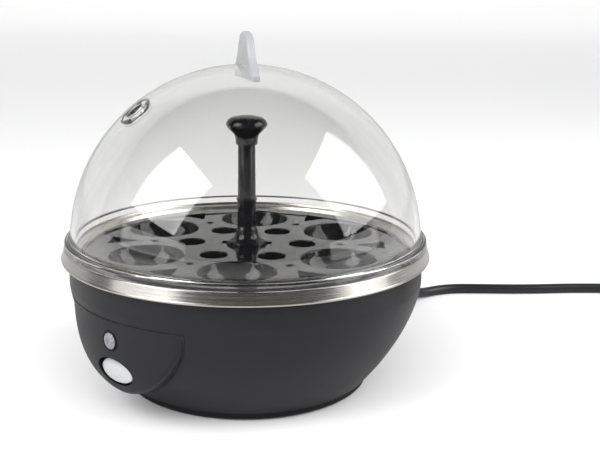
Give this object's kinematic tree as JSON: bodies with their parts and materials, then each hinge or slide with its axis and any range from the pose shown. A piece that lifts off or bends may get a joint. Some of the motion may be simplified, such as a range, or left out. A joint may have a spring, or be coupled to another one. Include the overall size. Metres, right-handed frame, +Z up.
{
  "type": "egg cooker",
  "caption": "Electric egg cooker: clear domed lid with a fin handle, egg tray with a lifting post, steel water pan, moulded bowl base and mains lead.",
  "frame": {"origin": "centre of the base on the table", "axes": "+Z up, -Y towards the controls, the lead leaves along +Y"},
  "size_m": [0.2522, 0.3733, 0.1646],
  "materials": {
    "clear_lid": "clear polished",
    "tinted_handle": "translucent grey, polished",
    "black_gloss": "high gloss",
    "charcoal_satin": "satin, fine grain",
    "charcoal_dark": "satin",
    "pan_steel": "spun, brushed",
    "band_steel": "spun, brushed",
    "button_silver": "silver lacquer",
    "lens_clear": "translucent",
    "lamp_glass": "clear glass",
    "silicone_grey": "matt silicone",
    "rubber_black": "matt",
    "element_steel": "heat darkened",
    "zinc_steel": "zinc plated",
    "aluminium": "mill finish",
    "ceramic_white": "phenolic, matt",
    "board_green": "solder mask",
    "wire_sleeve": "insulation",
    "cord_black": "satin sheath",
    "plug_black": "satin",
    "pin_brass": "bright",
    "spring_steel": "bright wire"
  },
  "bodies": {
    "base": {"water_pan": "pan_steel", "trim_band": "band_steel", "heating_element": "element_steel", "element_clips": "zinc_steel", "heat_shield": "aluminium", "pan_posts": "zinc_steel", "thermostat": "ceramic_white", "thermal_fuse": "ceramic_white", "pan_gasket": "silicone_grey", "body_shell": "charcoal_satin", "carrying_lugs": "charcoal_dark", "control_housing": "charcoal_satin", "power_switch": "ceramic_white", "button_spring": "spring_steel", "control_board": "board_green", "indicator_lamp": "lamp_glass", "indicator_lens": "lens_clear", "base_cover": "charcoal_dark", "rubber_feet": "rubber_black", "base_screws": "zinc_steel", "terminal_block": "ceramic_white", "terminal_screws": "zinc_steel", "cord_clamp": "charcoal_dark", "inner_wires": "wire_sleeve", "strain_relief": "cord_black", "inner_lead": "cord_black", "cord_lead": "cord_black", "cord_coil": "cord_black", "cord_tail": "cord_black", "plug_body": "plug_black", "plug_pins": "pin_brass"},
    "lid": {"lid_dome": "clear_lid", "steam_vent": "clear_lid", "lid_handle": "tinted_handle"},
    "tray": {"egg_tray": "black_gloss"},
    "lifting_post": {"post_shaft": "black_gloss", "post_knob": "black_gloss"},
    "button": {"power_button": "button_silver"}
  },
  "joints": [
    {"name": "lid_lift", "type": "slide", "parent": "base", "child": "lid", "axis": [0, 0, 1], "range_m": [0, 0.16]},
    {"name": "tray_lift", "type": "slide", "parent": "base", "child": "tray", "axis": [0, 0, 1], "range_m": [0, 0.08]},
    {"name": "post_twist", "type": "hinge", "parent": "tray", "child": "lifting_post", "pos_m": [0, 0, 0.0658], "axis": [0, 0, 1], "range_deg": [0, 60]},
    {"name": "button_press", "type": "slide", "parent": "base", "child": "button", "axis": [0, 1, 0], "range_m": [0, 0.0025], "stiffness_N_per_m": 500, "deforming": ["button_spring"]}
  ],
  "couplings": [
    {"joint": "tray_lift", "follows": "lid_lift", "ratio": 0.5}
  ]
}
